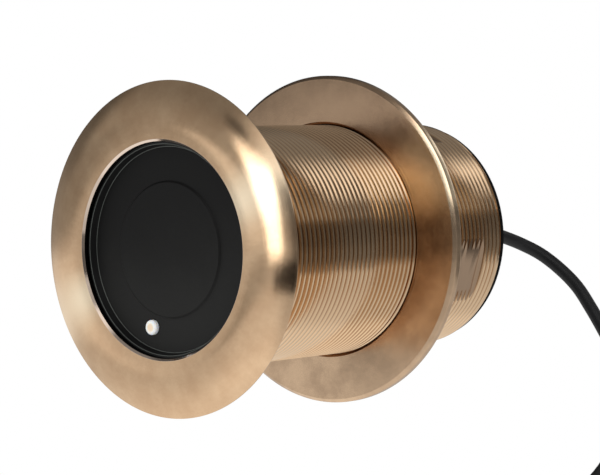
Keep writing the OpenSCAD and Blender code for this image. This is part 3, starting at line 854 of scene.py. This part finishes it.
def studio():
    """A pale room that only mirrored rays see: the camera and the plain light see white.

    Turn and rise are directions in degrees as the photograph's camera has them: turn 0 is
    straight ahead and 90 is to the right, and rise is upwards.
    """
    world = bpy.data.worlds.new("studio")
    bpy.context.scene.world = world
    world.use_nodes = True
    t = Tree(world.node_tree)
    t.tree.nodes.clear()
    coord = t.node("ShaderNodeTexCoord").outputs["Generated"]

    def along(axis):
        return t.value("ShaderNodeVectorMath", {"operation": "DOT_PRODUCT"}, {0: coord, 1: axis},
                       "Value")

    turn = along(CAMERA_RIGHT).atan2(along(CAMERA_AHEAD)) * (180 / math.pi)
    rise = along(-CAMERA_DOWN).math("ARCSINE") * (180 / math.pi)
    aside = turn.abs()

    def card(first, last, low, high, soft_turn, soft_rise):
        """1 on a patch of the room between two turns and two rises, 0 off it."""
        return turn.window(first, last, soft_turn) * rise.window(low, high, soft_rise)

    # The room is brightest low down and dimmest overhead
    light = rise.ramp(-6, 1, 0.62, 0.38) + rise.ramp(-42, -14, 0.30, 0.0) \
        - rise.ramp(5, 34, 0.0, 0.17)
    # Behind the camera hangs a pale band, with a fainter one above it, for the upper threads
    behind = aside.ramp(116, 150) * aside.ramp(155, 163, 1.0, 0.22)
    light = light + behind * rise.window(16, 34, 5) * 0.98
    light = light + aside.ramp(140, 160) * rise.window(38, 66, 5) * 0.7
    # A slanting strip of light for the nut's front bevel
    behind_turn = (turn + 360).wrap(360) - 180 - rise.ramp(30, 54, 0.0, 17.0)
    light = light + behind_turn.window(-20, -5, 2.5) * rise.window(17, 66, 4) * 2.0
    # The lamp that the dome mirrors on its right, and paler patches beside and below it
    lamp = turn.ramp(-140, -134) * (turn + rise.ramp(-7, 9, 6.0, 0.0)).ramp(-120, -114, 1.0, 0.0)
    light = light + lamp * rise.ramp(-7.5, -4.5) * rise.ramp(12, 22, 1.0, 0.0) * 2.4
    light = light + card(-118, -99, -3.6, 6, 2, 1.2) * 0.45
    light = light + card(-136, -106, -36, -10, 8, 6) * 0.14
    # A dimmer floor ahead, for the lowest threads
    light = light - card(-30, 75, -64, -22, 15, 6) * 0.19
    # The left wall, pale below and dim above, for the dome's left side
    light = light + card(-92, -35, -14, -3, 8, 2.5) * 0.22
    light = light * (1 - card(-88, -30, -1.5, 12, 6, 2) * 0.24)
    # The right wall is dim high up, and bright where the flange's back mirrors it to the thread
    light = light * (1 - card(38, 88, 24, 60, 8, 4) * 0.3)
    light = light + card(43, 58, 13, 36, 5, 4) * 1.3
    # A dimmer floor behind the camera, and the dark gap that bands the stem from end to end
    light = light * (1 - aside.ramp(134, 146) * rise.window(-60, -19, 3) * 0.25)
    gap = aside.ramp(141, 151).most(turn.window(58, 141, 6))
    light = light * (1 - gap * rise.window(-16.5, 15.5, 2) * 0.76)
    # The dark thing that the dome mirrors below the lamp, and the dim strip that leads to it
    spot = turn.window(-152, -129, 2.5) * rise.ramp(-8.3, -5.3, 1.0, 0.0)
    light = light * (1 - spot * (rise - (turn + 135) * 0.25).ramp(-15.3, -13.3) * 0.95)
    light = light * (1 - card(-130, -99, -10.5, -4.6, 3, 1.5) * 0.38)
    # A small dark patch above the lamp, and dim corners above and ahead for the upper edges
    light = light * (1 - card(-125, -116, 20, 28, 2.5, 3) * 0.7)
    light = light * (1 - card(-70, 10, 9, 70, 8, 7) * 0.6)
    light = light * (1 - card(-40, 6, -6, 60, 4, 4) * 0.7)

    glow = t.node("ShaderNodeBackground", None,
                  {"Color": (1.0, 0.99, 0.975, 1.0), "Strength": light})
    plain = t.node("ShaderNodeBackground", None, {"Color": (1, 1, 1, 1), "Strength": 1.0})
    mirrored = t.node("ShaderNodeLightPath").outputs["Is Glossy Ray"]
    mix = t.node("ShaderNodeMixShader", None,
                 {0: mirrored, 1: plain.outputs[0], 2: glow.outputs[0]})
    t.node("ShaderNodeOutputWorld", None, {0: mix.outputs[0]})


def floor():
    """A pale disc under the part that fades out, and that the camera sees only from above."""
    reach = 0.75
    fade_start, fade_end = 0.28, reach * 0.97
    middle = (0.02, 0.06)
    drop = 0.2 * MM
    rows = [[(x + middle[0], y + middle[1], z) for x, y, z in circle_row(r, -drop, 96)]
            for r in (reach, 0.001)]
    obj = rings("floor_disc", rows, closed=False)
    s = Shade("floor_paper")
    s.done(Base_Color=(0.86, 0.86, 0.86, 1.0), Roughness=0.9)
    x, y = s.x - middle[0], s.y - middle[1]
    fade = (x * x + y * y).sqrt().ramp(fade_start, fade_end)
    back = s.value("ShaderNodeNewGeometry", output="Backfacing")
    clear = s.node("ShaderNodeBsdfTransparent")
    mix = s.node("ShaderNodeMixShader", None,
                 {0: back.most(fade), 1: s.bsdf.outputs[0], 2: clear.outputs[0]})
    s.put(s.tree.nodes["Material Output"].inputs[0], mix.outputs[0])
    obj.data.materials.append(s.material)
    obj.visible_diffuse = False
    obj.visible_glossy = False
    obj.visible_transmission = False
    obj.visible_shadow = False


camera()
studio()
floor()

# The cable, its strap and its plug
cable = make_cable()
jacket = moulded("cable_jacket", linear(17, 17, 18), 0.48, 1400, 0.12, linear(30, 30, 32), 1.35)
dress(cable, jacket, "transducer", "cable_jacket", "cable", "cable_coil", "cable_tail")
plug_pieces = [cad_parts[n] for n in
               ("plug_boot", "plug_body", "coupling_ring", "plug_insert", "plug_pins", "plug_seal")]
strap = make_strap()
plug = moulded("plug_plastic", linear(30, 30, 32), 0.4, 900, 0.25, linear(46, 46, 48))
dress(strap, plug, "transducer", "plug_plastic", "cable_tie")
# The bronze doesn't mirror them, because their images would stand on the stem as dark marks
for piece in (cable, strap, *plug_pieces):
    piece.visible_glossy = False

# The two bronze pieces
dress(make_housing(), body_bronze(), "transducer", "bronze", "housing")
dress(make_nut(), nut_bronze(), "nut", "bronze", "hull_nut")

# What shows of the black mouldings, rubber and probe
black = moulded("moulded_black", linear(14, 14, 14), 0.4, 900, 0.25, linear(22, 22, 22), 1.35)
rubber = moulded("rubber_black", linear(24, 24, 24), 0.6, 1100, 0.3, linear(38, 38, 38))
for name in ("window_cup", "cable_gland", "gland_nut"):
    paint(name, black)
paint("rear_cap", moulded("cap_black", linear(9, 9, 9), 0.6, 900, 0.25, linear(15, 15, 15), 1.12))
paint("acoustic_window", window_face())
beads = make_beads()
# The beads are real rounded edges, painted pale grey against the black cup as a painted highlight
bead_painted_highlight = moulded("bead_painted_highlight", linear(74, 78, 74), 0.35, 900, 0.1, linear(96, 100, 96))
beads.data.materials.append(bead_painted_highlight)
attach(beads, "transducer")
for name in ("gland_seal", "strain_relief", "plug_boot"):
    paint(name, rubber)
for name in ("plug_body", "coupling_ring", "plug_insert"):
    paint(name, plug)
paint("cable_inner", jacket)
dress(make_probe(), probe_paint(), "transducer", "probe_brass", "temperature_probe")
paint("plug_pins", metal("pin_brass", linear(232, 204, 150), 0.22))
paint("plug_seal", moulded("seal_red", linear(140, 60, 48), 0.5))

# What is held inside
paint("ceramic_element", moulded("ceramic_white", linear(232, 228, 214), 0.5))
resin = moulded("damping_resin", linear(120, 92, 62), 0.55)
paint("tilt_wedge", resin)
paint("backing_disc", resin)
cork = moulded("cork_grain", linear(150, 112, 74), 0.8, 500, 0.6)
paint("isolation_ring", cork)
paint("foam_pad", cork)
green = moulded("board_green", linear(34, 96, 58), 0.4)
paint("circuit_board", green)
paint("terminal_block", green)
dark = moulded("component_dark", linear(44, 46, 52), 0.5)
for name in ("identity_chip", "tuning_capacitor", "thermistor", "potting"):
    paint(name, dark)
paint("transformer", metal("copper_wire", linear(206, 128, 84), 0.3))
tin = metal("tinned_steel", linear(214, 214, 212), 0.3)
for name in ("shield_can", "board_screws", "conductors"):
    paint(name, tin)
wire = moulded("lead_wire", linear(176, 48, 40), 0.4)
paint("element_leads", wire)
paint("probe_lead", wire)

bpy.context.scene.view_settings.view_transform = "Standard"
bpy.context.view_layer.update()
